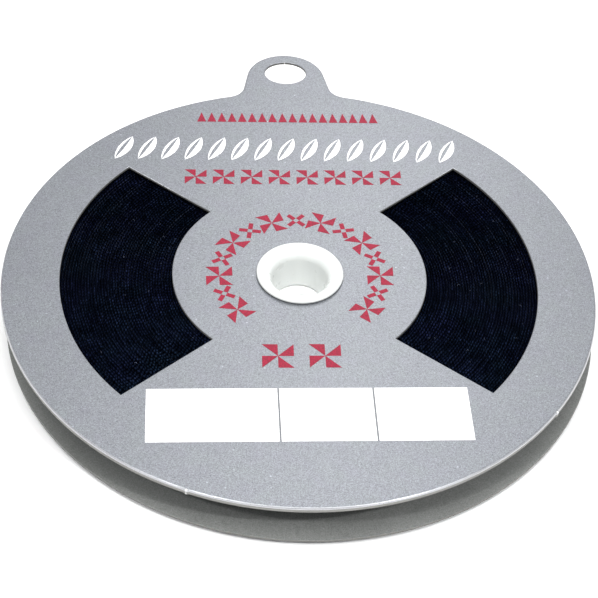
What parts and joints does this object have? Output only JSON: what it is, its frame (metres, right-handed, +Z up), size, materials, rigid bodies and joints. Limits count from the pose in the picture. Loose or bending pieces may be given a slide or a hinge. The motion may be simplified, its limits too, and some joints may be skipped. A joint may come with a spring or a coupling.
{
  "type": "roll of bias binding on a card reel",
  "caption": "Narrow folded navy bias binding wound flat between silver-grey card discs with sector windows, a hanging tab and a white eyelet.",
  "frame": {"origin": "on the surface the reel lies on, below the middle of the whole outline; the disc's centre is 5.7 mm towards -Y", "axes": "+Z up through the eyelet's bore, +Y towards the hanging tab, +X to the right of the tab"},
  "size_m": [0.0954, 0.1064, 0.0094],
  "materials": {
    "silver_card": "silver-grey coated board with a fine metallic grain, pale cut edges",
    "grey_card": "plain grey board, matte",
    "navy_cloth": "folded woven cotton, matte, very dark navy",
    "white_plastic": "moulded white plastic, soft gloss",
    "red_ink": "flat red printing ink on the card",
    "white_ink": "flat white printing ink on the card"
  },
  "bodies": {
    "root": {"top_card": "silver_card", "bottom_card": "grey_card", "tape_coil": "navy_cloth", "eyelet_top": "white_plastic", "eyelet_bottom": "white_plastic"}
  },
  "joints": []
}
